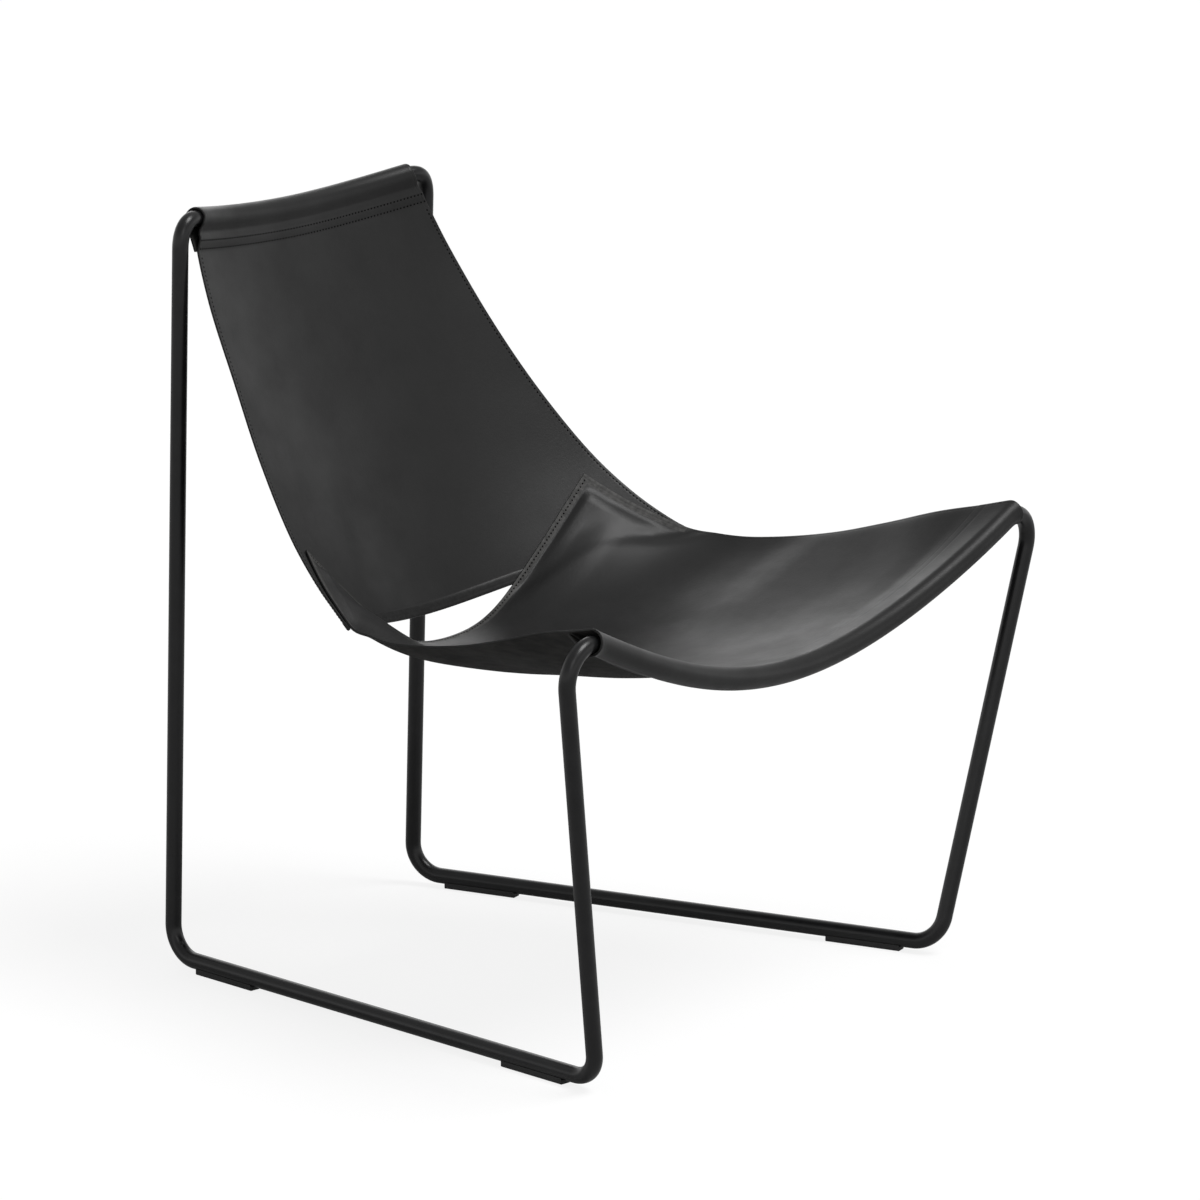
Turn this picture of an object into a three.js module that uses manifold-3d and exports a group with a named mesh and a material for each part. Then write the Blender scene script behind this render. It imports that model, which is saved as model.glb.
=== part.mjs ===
import * as THREE from "three";
import { mergeVertices } from "three/addons/utils/BufferGeometryUtils.js";
import Module from "manifold-3d";

// A lounge chair: two leather panels hung in a bent steel tube frame.
// Millimetres, +Z up, the sitter faces -Y, and x = 0 is the middle.

// The tube
const tubeRadius = 9;
const tubeWall = 2;
const bendRadius = 36;
const fitGap = 0.3;
const tubeSides = 14;
const bendSteps = 7;
const stubBendSteps = 10;
const railSteps = 18;

// The runners lie on the floor and spread toward the front.
const runnerHeight = 15;
const rearHalfWidth = 217;
const frontHalfWidth = 323.6;
const halfDepth = 332.2;

// The uprights lean toward the front, and the legs outward and toward the front.
const uprightLeanShare = -0.0316;
const legSpreadShare = 0.237;
const legLeanShare = -0.092;

// The top rail sags down and back in its middle.
const topMiddleInset = 2.4;
const topMiddleY = halfDepth - topMiddleInset;
const topMiddleZ = 829.4;
const topSleeveInset = 28.5;
const topHalfWidth = rearHalfWidth - topSleeveInset;
const topRise = 14.4;
const topSweep = 20.5;
const topSweepPower = 2.5;
const topBendInset = 1.5;
const topBendStart = topHalfWidth - topBendInset;
const topBendDrop = 34;
const topHandleShare = 0.66;
const topSplitInset = 31;
const topSplit = topBendStart - topSplitInset;

// The front rail hangs as a bow between the legs, a little behind their plane in its middle.
const frontMiddleZ = 399.4;
const frontSlopeShare = 0.63;
const frontSoftness = 375;
const frontBack = 9;
const frontReach = 55.4;
const frontBendStart = frontHalfWidth + frontReach;
const mouthReach = 15.5;
const mouthHalfWidth = frontBendStart + mouthReach;
const frontSplitInset = 39;
const frontSplit = frontBendStart - frontSplitInset;

// The plugs that join the rails to the side frames, inside the sleeves
const plugReach = 17;
const plugGap = 0.35;
const grubRadius = 2;
const grubSink = 0.5;
const grubLength = 4.6;
const grubOffset = 9;
const plugSteps = 6;
const smallSides = 8;

// The glides under the runners
const glideStart = 46;
const glideLength = 91;
const glideDrop = 4;
const glideHalfWidth = 7;
const glideEdge = 1;
const glideScrewInset = 16;
const screwRadius = 1.5;
const screwHeadRadius = 3;
const screwHeadSink = 0.7;
const screwHeadHeight = 1.9;
const screwTip = 10;
const screwPoint = 1.5;

// The leather
const leather = 3;
const sleeveClearance = 0.7;
const flapGap = 0.4;
const lapGap = 1.6;
const seamStartShare = 0.45;
const seamLength = 36;
const wrapSteps = 8;
const mainRows = 12;
const middleColumns = 10;
const endColumns = 2;

// At its mouths the front sleeve lifts off the bend of the tube and opens a little.
const mouthLiftShare = 0.55;
const mouthSpread = 2.5;

// The edges of the panels, as shares of the way from the end of the front sleeve to the end of
// the top rail: across, back and up. The middle lines go by the middles of the two rails.
const backEdgeShares = [
  [0.948, 0.986, 0.936],
  [0.878, 0.9435, 0.7535],
  [0.798, 0.873, 0.512],
  [0.697, 0.797, 0.282],
  [0.588, 0.7095, 0.069],
  [0.511, 0.641, -0.0515],
  [0.4525, 0.5885, -0.121],
  [0.405, 0.552, -0.162],
];
const backMiddleShares = [
  [0, 0.9175, 0.676],
  [0, 0.8215, 0.3385],
  [0, 0.714, -0.016],
];
const backBowShare = 0.95;
const backHemShare = 0.5;
const seatEdgeShares = [
  [0.019, 0.003, 0.032],
  [0.124, 0.1125, -0.014],
  [0.177, 0.208, -0.073],
  [0.238, 0.299, -0.123],
  [0.2985, 0.401, -0.158],
  [0.347, 0.475, -0.1685],
  [0.431, 0.5495, -0.148],
  [0.534, 0.6105, -0.092],
  [0.595, 0.6405, -0.0535],
  [0.692, 0.709, 0.02],
];
const seatMiddleShares = [
  [0, 0.002, 0.026],
  [0, 0.229, -0.046],
  [0, 0.4555, -0.1135],
  [0, 0.6835, -0.075],
];

// The seat's rear edge is near level in its middle and turns up toward the wings.
const seatHingeShare = 0.29;
const seatHingeSoftShare = 0.2;

// Between its middle and its edges the seat hangs a little deeper: as a belly behind the front
// rail, and as a wall in front of the wings. Each one's rise and fall are shares of the seat's length.
const bellyDepth = 11;
const bellyPower = 2;
const bellyRiseShares = [0, 0.1];
const bellyFallShares = [0.16, 0.5];
const wallDepth = 6.3;
const wallPower = 5;
const wallRiseShares = [0.42, 0.56];
const wallFallShares = [0.62, 0.84];

// How far past the lower edge of the back the seat wings let go of it
const lapKeep = 2;
const lapFade = 34;
const lapReach = 6;
const lapLoose = 14;

// How finely the shapes are worked out
const halvings = 40;
const lengthSteps = 400;
const seamSteps = 2000;
const probeShare = 0.005;
const searchFromShare = 0.5;
const searchToShare = 1.4;

const frameLooks = { color: 0x161617, roughness: 0.42, metalness: 0.35 };
const leatherLooks = { color: 0x2b2b2c, roughness: 0.55, metalness: 0 };
const plasticLooks = { color: 0x101011, roughness: 0.6, metalness: 0 };
const steelLooks = { color: 0x9a9c9e, roughness: 0.35, metalness: 0.9 };

const wasm = await Module();
wasm.setup();

const vec = (x, y, z) => new THREE.Vector3(x, y, z);
const mix = (a, b, share) => a + (b - a) * share;
const smooth = (share) => {
  const s = Math.min(Math.max(share, 0), 1);
  return s * s * (3 - 2 * s);
};
const bowl = (share, softShare) =>
  (Math.hypot(softShare, share) - softShare) / (Math.hypot(softShare, 1) - softShare);
const hinged = (share, turnShare, softShare) => {
  const rise = (x) =>
    (Math.hypot(softShare, x - turnShare) + Math.hypot(softShare, x + turnShare)) / 2 -
    Math.hypot(softShare, turnShare);
  return rise(share) / rise(1);
};

// From 0 to 1 between the two ends of a range
const climb = (share, [from, to]) => smooth((share - from) / (to - from));

// 0 in the middle and at the edge, and 1 where it is highest between them
const hump = (reach, power) => {
  const rise = (x) => x ** power * (1 - x);
  return rise(reach) / rise(power / (power + 1));
};

const towardSitter = vec(0, -1, 1);
const chair = new THREE.Group();

function add(name, geometry, looks) {
  const mesh = new THREE.Mesh(geometry, new THREE.MeshStandardMaterial(looks));
  mesh.name = name;
  chair.add(mesh);
}

function solidOf(geometry) {
  const bare = geometry.clone();
  bare.deleteAttribute("normal");
  bare.deleteAttribute("uv");
  const merged = mergeVertices(bare);
  return new wasm.Manifold(
    new wasm.Mesh({
      numProp: 3,
      vertProperties: new Float32Array(merged.attributes.position.array),
      triVerts: new Uint32Array(merged.index.array),
    }),
  );
}

function geometryOf(solid) {
  const mesh = solid.getMesh();
  const geometry = new THREE.BufferGeometry();
  geometry.setAttribute("position", new THREE.BufferAttribute(mesh.vertProperties, mesh.numProp));
  geometry.setIndex(new THREE.BufferAttribute(mesh.triVerts, 1));
  return geometry;
}

function cut(geometry, tools) {
  return geometryOf(tools.reduce((solid, tool) => solid.subtract(solidOf(tool)), solidOf(geometry)));
}

// A curve given by a function of a share from 0 to 1
class Path extends THREE.Curve {
  constructor(at) {
    super();
    this.at = at;
  }
  getPoint(share, target = new THREE.Vector3()) {
    return target.copy(this.at(share));
  }
}

function joined(...curves) {
  const path = new THREE.CurvePath();
  curves.forEach((curve) => path.add(curve));
  return path;
}

function circle(radius, sides, direction) {
  return Array.from({ length: sides }, (_, i) => {
    const turn = (direction * i * Math.PI * 2) / sides;
    return new THREE.Vector2(Math.cos(turn) * radius, Math.sin(turn) * radius);
  });
}

// A rod or a tube along a path: a hole of radius zero gives a rod
function along(path, steps, radius, hole, sides) {
  const shape = new THREE.Shape(circle(radius, sides, 1));
  if (hole > 0) shape.holes.push(new THREE.Path(circle(hole, sides, -1)));
  return new THREE.ExtrudeGeometry(shape, { steps, extrudePath: path });
}

const tubeAlong = (path, steps) =>
  along(path, steps, tubeRadius, tubeRadius - tubeWall, tubeSides);

// A solid of revolution given by [radius, height] pairs, standing on a point along a direction
function turned(profile, foot, direction) {
  const points = profile.map(([radius, height]) => new THREE.Vector2(radius, height));
  const geometry = new THREE.LatheGeometry(points, smallSides);
  const turn = new THREE.Quaternion().setFromUnitVectors(vec(0, 1, 0), direction.clone().normalize());
  geometry.applyQuaternion(turn);
  geometry.translate(foot.x, foot.y, foot.z);
  return geometry;
}

// The centre lines of one side, with x outward; mirrored by the side's sign afterwards
const rearFoot = vec(rearHalfWidth, halfDepth, runnerHeight);
const frontFoot = vec(frontHalfWidth, -halfDepth, runnerHeight);
const upright = vec(0, uprightLeanShare, 1).normalize();
const leg = vec(legSpreadShare, legLeanShare, 1).normalize();

function topAt(x) {
  const share = Math.abs(x) / topHalfWidth;
  return vec(
    x,
    topMiddleY - topSweep * share ** topSweepPower,
    topMiddleZ + topRise * share ** 2,
  );
}

const legPlaneY = (z) => -halfDepth + legLeanShare * (z - runnerHeight);

function frontBowAt(x) {
  const z = frontMiddleZ + frontSlopeShare * (Math.hypot(frontSoftness, x) - frontSoftness);
  const inner = Math.max(1 - (x / frontBendStart) ** 2, 0);
  return vec(x, legPlaneY(z) + frontBack * inner ** 2, z);
}

const slopeOf = (at, x) => {
  const step = fitGap;
  return at(x + step).sub(at(x - step)).normalize();
};

// A round bend of the tube between two directions that meet in a corner
function elbow(corner, toStart, toEnd, radius) {
  const half = toStart.angleTo(toEnd) / 2;
  const reach = radius / Math.tan(half);
  const start = corner.clone().addScaledVector(toStart, reach);
  const end = corner.clone().addScaledVector(toEnd, reach);
  const middle = toStart.clone().add(toEnd).normalize();
  const centre = corner.clone().addScaledVector(middle, radius / Math.sin(half));
  const from = start.clone().sub(centre);
  const to = end.clone().sub(centre);
  const sweep = from.angleTo(to);
  const at = (share) =>
    centre
      .clone()
      .addScaledVector(from, Math.sin((1 - share) * sweep) / Math.sin(sweep))
      .addScaledVector(to, Math.sin(share * sweep) / Math.sin(sweep));
  return { start, end, at, path: new Path(at) };
}

const forward = frontFoot.clone().sub(rearFoot).normalize();
const backward = forward.clone().negate();
const rearElbow = elbow(rearFoot, upright, forward, bendRadius);
const frontElbow = elbow(frontFoot, backward, leg, bendRadius);

// The front bend: the end of the bow runs on straight to its corner with the leg.
const bowEnd = frontBowAt(frontBendStart);
const bowSlope = slopeOf(frontBowAt, frontBendStart);
const across = bowSlope.z / bowSlope.x;
const cornerX =
  (frontHalfWidth + legSpreadShare * (bowEnd.z - runnerHeight - across * frontBendStart)) /
  (1 - legSpreadShare * across);
const cornerZ = bowEnd.z + across * (cornerX - frontBendStart);
const legCorner = vec(cornerX, legPlaneY(cornerZ), cornerZ);
const legElbow = elbow(legCorner, bowSlope.clone().negate(), leg.clone().negate(), bendRadius);

// The middle of the front sleeve by x: past the bow it goes between the bend and a straight run on.
function frontSleeveAt(x) {
  const side = Math.sign(x) || 1;
  const reach = Math.abs(x);
  if (reach <= legElbow.start.x) return frontBowAt(x);
  let low = 0;
  let high = 1;
  for (let i = 0; i < halvings; i += 1) {
    const share = (low + high) / 2;
    if (legElbow.at(share / 2).x < reach) low = share;
    else high = share;
  }
  const point = legElbow.at(low / 2);
  const straight = legElbow.start
    .clone()
    .addScaledVector(bowSlope, (reach - legElbow.start.x) / bowSlope.x);
  point.lerp(straight, mouthLiftShare);
  point.x *= side;
  return point;
}

// The top bend: from the end of the top rail into the upright
const topEnd = topAt(topBendStart);
const topSlope = slopeOf(topAt, topBendStart);
const uprightAt = (z) => rearFoot.clone().addScaledVector(upright, (z - runnerHeight) / upright.z);
const topCornerZ = topEnd.z + (topSlope.z / topSlope.x) * (rearHalfWidth - topBendStart);
const uprightTop = uprightAt(topCornerZ - topBendDrop);
const topBend = new THREE.CubicBezierCurve3(
  topEnd,
  topEnd.clone().addScaledVector(topSlope, topHandleShare * (rearHalfWidth - topBendStart)),
  uprightTop.clone().addScaledVector(upright, topHandleShare * topBendDrop),
  uprightTop,
);

// Cuts the fit gap off each end of a straight run.
function run(start, end) {
  const way = end.clone().sub(start).normalize().multiplyScalar(fitGap);
  return new THREE.LineCurve3(start.clone().add(way), end.clone().sub(way));
}

const sides = [
  ["left", -1],
  ["right", 1],
];
const sided = (point, side) => vec(point.x * side, point.y, point.z);
const sidedPath = (path, side) => new Path((share) => sided(path.getPoint(share), side));
const between = (at, from, to) => new Path((share) => at(mix(from, to, share)));

// The rails are joined to the side frames by plugs with a grub screw on each side of the joint.
const rails = [
  { name: "top", at: topAt, split: topSplit, bend: topBend, bendFrom: topBendStart },
  {
    name: "front",
    at: frontBowAt,
    split: frontSplit,
    bend: legElbow.path,
    bendFrom: legElbow.start.x,
  },
];

const grubHole = [
  [0, 0],
  [grubRadius + fitGap, 0],
  [grubRadius + fitGap, grubLength + tubeWall],
  [0, grubLength + tubeWall],
];
const grubBody = [
  [0, 0],
  [grubRadius, 0],
  [grubRadius, grubLength],
  [0, grubLength],
];

// A grub screw stands under the rail, square to it.
function grubPlace(rail, x) {
  const slope = slopeOf(rail.at, x);
  const down = vec(0, 0, -1);
  down.addScaledVector(slope, -down.dot(slope)).normalize();
  const inner = tubeRadius - grubSink - grubLength;
  return { foot: rail.at(x).addScaledVector(down, inner), down, inner };
}

for (const rail of rails) {
  const gap = fitGap / 2;
  let geometry = tubeAlong(between(rail.at, -rail.split + gap, rail.split - gap), railSteps);
  const holes = [];
  for (const [word, side] of sides) {
    const from = side * rail.split;
    const plugPath = between(rail.at, from - side * plugReach, from + side * plugReach);
    const plugRadius = tubeRadius - tubeWall - plugGap;
    const places = [-1, 1].map((end) => grubPlace(rail, from + side * end * grubOffset));
    const tools = places.map(({ foot, down }) =>
      turned(grubHole, foot.clone().addScaledVector(down, -fitGap), down),
    );
    holes.push(tools[0]);
    const plug = along(plugPath, plugSteps, plugRadius, 0, tubeSides);
    add(`${rail.name}_plug_${word}`, cut(plug, tools), frameLooks);
    places.forEach(({ foot, down }, i) =>
      add(`${rail.name}_grub_${["inner", "outer"][i]}_${word}`, turned(grubBody, foot, down), steelLooks),
    );
    const stub = between(rail.at, from + side * gap, side * rail.bendFrom);
    const bend = joined(stub, sidedPath(rail.bend, side));
    add(`${rail.name}_bend_${word}`, cut(tubeAlong(bend, stubBendSteps), [tools[1]]), frameLooks);
  }
  geometry = cut(geometry, holes);
  add(`${rail.name}_rail`, geometry, frameLooks);
}

// The glides clip under the runners and are screwed up into them.
const plan = vec(forward.x, forward.y, 0).normalize();
const glideFoot = runnerHeight - tubeRadius - glideDrop;
const saddle = tubeRadius + fitGap;
const saddleTurn = Math.asin(glideHalfWidth / saddle);

function glideShape() {
  const arc = Array.from({ length: smallSides + 1 }, (_, i) => {
    const turn = mix(saddleTurn, -saddleTurn, i / smallSides);
    return new THREE.Vector2(Math.sin(turn) * saddle, runnerHeight - glideFoot - Math.cos(turn) * saddle);
  });
  return new THREE.Shape([
    new THREE.Vector2(-glideHalfWidth, glideEdge),
    new THREE.Vector2(-glideHalfWidth + glideEdge, 0),
    new THREE.Vector2(glideHalfWidth - glideEdge, 0),
    new THREE.Vector2(glideHalfWidth, glideEdge),
    ...arc,
  ]);
}

const screwProfile = (spread) => [
  [0, screwHeadSink - spread],
  [screwHeadRadius + spread, screwHeadSink - spread],
  [screwRadius + spread, screwHeadSink + screwHeadHeight],
  [screwRadius + spread, screwTip - screwPoint + spread],
  [0, screwTip + spread],
];
const screwHole = [
  [0, -fitGap],
  [screwHeadRadius + fitGap, -fitGap],
  [screwHeadRadius + fitGap, screwHeadSink],
  ...screwProfile(fitGap).slice(2),
];

for (const [word, side] of sides) {
  const flat = sided(plan, side);
  const holes = [];
  for (const [end, corner, way] of [
    ["rear", rearFoot, 1],
    ["front", frontFoot, -1],
  ]) {
    const base = sided(vec(corner.x, corner.y, glideFoot), side);
    const at = (reach) => base.clone().addScaledVector(flat, way * reach);
    const foot = at(way > 0 ? glideStart : glideStart + glideLength);
    const shape = glideShape();
    const geometry = new THREE.ExtrudeGeometry(shape, { depth: glideLength, bevelEnabled: false });
    const sideways = new THREE.Vector3().crossVectors(vec(0, 0, 1), flat);
    geometry.applyMatrix4(new THREE.Matrix4().makeBasis(sideways, vec(0, 0, 1), flat));
    geometry.translate(foot.x, foot.y, foot.z);
    const tools = [];
    for (const [which, inset] of [
      ["rear", way > 0 ? glideScrewInset : glideLength - glideScrewInset],
      ["front", way > 0 ? glideLength - glideScrewInset : glideScrewInset],
    ]) {
      const place = at(glideStart + inset);
      tools.push(turned(screwHole, place, vec(0, 0, 1)));
      add(`glide_screw_${end}_${which}_${word}`, turned(screwProfile(0), place, vec(0, 0, 1)), steelLooks);
    }
    holes.push(...tools);
    add(`glide_${end}_${word}`, cut(geometry, tools), plasticLooks);
  }
  const runner = run(sided(rearElbow.end, side), sided(frontElbow.start, side));
  add(`runner_${word}`, cut(tubeAlong(runner, 1), holes), frameLooks);
  add(`rear_foot_bend_${word}`, tubeAlong(sidedPath(rearElbow.path, side), bendSteps), frameLooks);
  add(`front_foot_bend_${word}`, tubeAlong(sidedPath(frontElbow.path, side), bendSteps), frameLooks);
  const post = run(sided(rearElbow.start, side), sided(uprightTop, side));
  add(`rear_upright_${word}`, tubeAlong(post, 1), frameLooks);
  const shank = run(sided(frontElbow.end, side), sided(legElbow.end, side));
  add(`front_leg_${word}`, tubeAlong(shank, 1), frameLooks);
}

// A line of the leather by the share of its length, running on straight past its end
function edgeLine(curve) {
  curve.arcLengthDivisions = lengthSteps;
  const length = curve.getLength();
  const at = (share) => {
    if (share <= 1) return curve.getPointAt(Math.max(share, 0));
    const slope = curve.getTangentAt(1);
    return curve.getPointAt(1).addScaledVector(slope, (share - 1) * length);
  };
  return { at, length };
}
const spline = (points) => edgeLine(new THREE.CatmullRomCurve3(points, false, "centripetal"));

const placed = (from, to, shares) =>
  shares.map(([x, y, z]) => vec(mix(from.x, to.x, x), mix(from.y, to.y, y), mix(from.z, to.z, z)));
const sleeveEnd = frontSleeveAt(mouthHalfWidth);
const railEnd = topAt(topHalfWidth);
const frontMiddle = frontBowAt(0);
const topMiddle = topAt(0);
const backSide = spline([railEnd, ...placed(sleeveEnd, railEnd, backEdgeShares)]);
const backCentre = spline([topMiddle, ...placed(frontMiddle, topMiddle, backMiddleShares)]);

// The back panel by the share u across (from -1 to 1) and the share v down
function backAt(u, v) {
  const e = backSide.at(v);
  const m = backCentre.at(v);
  const reach = Math.abs(u);
  const bow = mix(reach ** topSweepPower, mix(reach ** 4, reach ** 2, backBowShare), smooth(v));
  const hem = mix(reach ** 2, bowl(reach, backHemShare), v);
  return vec(u * e.x, mix(m.y, e.y, bow), mix(m.z, e.z, hem));
}

const seatSide = spline(placed(sleeveEnd, railEnd, seatEdgeShares));
const seatCentre = edgeLine(
  new THREE.CubicBezierCurve3(...placed(frontMiddle, topMiddle, seatMiddleShares)),
);

// The seat panel by the share u across and the share v from the front rail to the rear edge
function seatAt(u, v) {
  const e = seatSide.at(v);
  const m = seatCentre.at(v);
  const rise = frontSleeveAt(u * mouthHalfWidth).z - frontMiddle.z;
  const railBow = rise / (sleeveEnd.z - frontMiddle.z);
  const reach = Math.abs(u);
  const bow = mix(railBow, hinged(reach, seatHingeShare, seatHingeSoftShare), smooth(v));
  const bellyShare = climb(v, bellyRiseShares) * (1 - climb(v, bellyFallShares));
  const wallShare = climb(v, wallRiseShares) * (1 - climb(v, wallFallShares));
  const deeper =
    bellyDepth * hump(reach, bellyPower) * bellyShare + wallDepth * hump(reach, wallPower) * wallShare;
  return vec(u * e.x, mix(m.y, e.y, bow), mix(m.z, e.z, bow) - deeper);
}

function normalAt(surface, u, v) {
  const step = probeShare;
  const a = surface(u + step, v).sub(surface(u - step, v));
  const b = surface(u, v + step).sub(surface(u, Math.max(v - step, 0)));
  const normal = a.cross(b).normalize();
  return normal.dot(towardSitter) < 0 ? normal.negate() : normal;
}

const sleeveRadius = tubeRadius + sleeveClearance + leather / 2;

// The radius of the front sleeve grows toward its mouths.
function frontSleeveRadius(u) {
  const over = Math.max(Math.abs(u) * mouthHalfWidth - legElbow.start.x, 0);
  return sleeveRadius + mouthSpread * (over / (mouthHalfWidth - legElbow.start.x)) ** 2;
}

// How far down a panel its seam to the flap is, as a share of the panel's length
function seamShareOf(rail, surface) {
  let share = 0;
  while (surface(0, share).distanceTo(rail(0)) < seamLength) share += 1 / seamSteps;
  return share;
}

// The rows of one column round the rail: the seam, the sleeve and the flap behind it
function sleeveRows(rail, surface, u, width, seamShare, wrapRadius) {
  const o = rail(u * width);
  const slope = slopeOf(rail, u * width);
  const seam = surface(u, seamShare).sub(o);
  const drift = seam.dot(slope);
  const e = seam.clone().addScaledVector(slope, -drift);
  const reach = e.length();
  e.normalize();
  const n = new THREE.Vector3().crossVectors(slope, e).normalize();
  if (n.dot(towardSitter) < 0) n.negate();
  const place = ([a, b]) =>
    o
      .clone()
      .addScaledVector(e, a)
      .addScaledVector(n, b)
      .addScaledVector(slope, (drift * Math.max(a, 0)) / reach);
  const top = Math.acos(wrapRadius / reach);
  const out = [Math.cos(top), Math.sin(top)];
  const layers = leather + flapGap;
  const back = [reach - out[0] * layers, -out[1] * layers];
  const low = Math.atan2(back[1], back[0]) - Math.acos(wrapRadius / Math.hypot(...back));
  const arc = Array.from({ length: wrapSteps + 1 }, (_, i) => {
    const angle = mix(top, Math.PI * 2 + low, i / wrapSteps);
    return [Math.cos(angle) * wrapRadius, Math.sin(angle) * wrapRadius];
  });
  const partWay = (from, to) => [mix(from[0], to[0], seamStartShare), mix(from[1], to[1], seamStartShare)];
  const near = partWay([reach, 0], arc[0]);
  const nearBack = partWay(back, arc[wrapSteps]);
  return [[reach, 0], near, ...arc, nearBack, back].map(place);
}

const columnShares = (bendShare) => {
  const inner = Array.from({ length: middleColumns }, (_, i) => (i * bendShare) / middleColumns);
  const outer = Array.from({ length: endColumns + 1 }, (_, i) => mix(bendShare, 1, i / endColumns));
  const right = [...inner, ...outer];
  return [...right.slice(1).reverse().map((u) => -u), ...right];
};

// A panel as a grid of points in the middle of the leather, from its free edge to its flap
function panelGrid(rail, surface, width, bendShare, moved, radiusAt) {
  const seamShare = seamShareOf(rail, surface);
  return columnShares(bendShare).map((u) => {
    const main = Array.from({ length: mainRows }, (_, i) =>
      moved(surface(u, mix(1, seamShare, i / mainRows))),
    );
    return [...main, ...sleeveRows(rail, surface, u, width, seamShare, radiusAt(u))];
  });
}

// Gives a grid the thickness of the leather and closes it round its edges.
function sheetGeometry(grid) {
  const columns = grid.length;
  const count = grid[0].length;
  const points = [];
  const at = (i, j, layer) => (layer * columns + i) * count + j;
  for (const layer of [-1, 1]) {
    grid.forEach((column, i) =>
      column.forEach((point, j) => {
        const left = grid[Math.max(i - 1, 0)][j];
        const right = grid[Math.min(i + 1, columns - 1)][j];
        const before = column[Math.max(j - 1, 0)];
        const after = column[Math.min(j + 1, count - 1)];
        const normal = right.clone().sub(left).cross(after.clone().sub(before)).normalize();
        points.push(...point.clone().addScaledVector(normal, (layer * leather) / 2));
      }),
    );
  }
  const faces = [];
  const quad = (a, b, c, d) => faces.push(a, b, c, a, c, d);
  for (let i = 0; i < columns - 1; i += 1) {
    for (let j = 0; j < count - 1; j += 1) {
      quad(at(i, j, 1), at(i + 1, j, 1), at(i + 1, j + 1, 1), at(i, j + 1, 1));
      quad(at(i, j, 0), at(i, j + 1, 0), at(i + 1, j + 1, 0), at(i + 1, j, 0));
    }
    quad(at(i, 0, 0), at(i + 1, 0, 0), at(i + 1, 0, 1), at(i, 0, 1));
    quad(at(i + 1, count - 1, 0), at(i, count - 1, 0), at(i, count - 1, 1), at(i + 1, count - 1, 1));
  }
  for (let j = 0; j < count - 1; j += 1) {
    quad(at(0, j + 1, 0), at(0, j, 0), at(0, j, 1), at(0, j + 1, 1));
    quad(at(columns - 1, j, 0), at(columns - 1, j + 1, 0), at(columns - 1, j + 1, 1), at(columns - 1, j, 1));
  }
  const geometry = new THREE.BufferGeometry();
  geometry.setAttribute("position", new THREE.Float32BufferAttribute(points, 3));
  geometry.setIndex(faces);
  return geometry;
}

const still = (point) => point;

// The place on the back panel, or on its run past the lower edge, that a point stands square over
function backUnder(point) {
  const across = (v) => point.x / backSide.at(v).x;
  let low = searchFromShare;
  let high = searchToShare;
  for (let i = 0; i < halvings; i += 1) {
    const v = (low + high) / 2;
    const here = backAt(across(v), v);
    const ahead = backAt(across(v), v + probeShare).sub(here);
    if (point.clone().sub(here).dot(ahead) > 0) low = v;
    else high = v;
  }
  const u = across(low);
  return { place: backAt(u, low), normal: normalAt(backAt, u, low), past: (low - 1) * backSide.length };
}

// The seat wings lie inside the lower corners of the back and keep a small gap to it.
function lapped(point) {
  const { place, normal, past } = backUnder(point);
  const off = point.clone().sub(place).dot(normal) - leather - lapGap;
  const keep = 1 - smooth((past - lapKeep) / lapFade);
  const cling = 1 - smooth((off - lapReach) / lapLoose);
  return point.clone().addScaledVector(normal, -off * keep * cling);
}

const bendShare = legElbow.start.x / mouthHalfWidth;
const backGrid = panelGrid(topAt, backAt, topHalfWidth, bendShare, still, () => sleeveRadius);
const seatGrid = panelGrid(frontSleeveAt, seatAt, mouthHalfWidth, bendShare, lapped, frontSleeveRadius);
add("back_panel", sheetGeometry(backGrid), leatherLooks);
add("seat_panel", sheetGeometry(seatGrid), leatherLooks);

// The origin is on the floor, in the middle of the whole chair.
const box = new THREE.Box3().setFromObject(chair);
chair.position.set(0, -(box.min.y + box.max.y) / 2, -box.min.z);

export default chair;
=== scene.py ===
import bpy
import bmesh
import math
import numpy as np
from mathutils import Matrix, Vector


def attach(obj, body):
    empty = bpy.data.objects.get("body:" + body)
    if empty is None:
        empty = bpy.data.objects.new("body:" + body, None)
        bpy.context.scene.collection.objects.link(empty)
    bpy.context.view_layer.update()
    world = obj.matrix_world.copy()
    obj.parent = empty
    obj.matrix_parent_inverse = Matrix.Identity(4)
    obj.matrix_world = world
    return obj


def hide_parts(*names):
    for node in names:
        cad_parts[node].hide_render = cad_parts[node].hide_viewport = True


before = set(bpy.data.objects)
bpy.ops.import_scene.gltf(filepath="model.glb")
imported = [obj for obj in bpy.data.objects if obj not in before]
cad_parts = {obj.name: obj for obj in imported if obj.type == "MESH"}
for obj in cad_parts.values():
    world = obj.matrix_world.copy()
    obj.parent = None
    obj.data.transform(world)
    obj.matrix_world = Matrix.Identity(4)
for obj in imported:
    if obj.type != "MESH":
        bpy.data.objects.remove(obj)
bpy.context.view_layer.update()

# Sizes are in millimetres, in the chair's own measuring frame: x across, y back and z up. SHIFT
# takes that frame to the one that stands on the floor in the middle of the chair.
MM = 0.001
SHIFT = np.array([0, 24.930, -2.0])

# The tube's radius and wall, the radius of the round bends, the corners that the runners, uprights
# and legs would meet in, and the leans of the uprights and legs
TUBE = 9.0
TUBE_WALL = 2.0
BEND = 36.0
RUNNER_Z = 15.0
REAR_X = 217.0
FRONT_X = 323.6
DEPTH = 332.2
UPRIGHT_LEAN = -0.0316
LEG_SPREAD = 0.237
LEG_LEAN = -0.092

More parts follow.
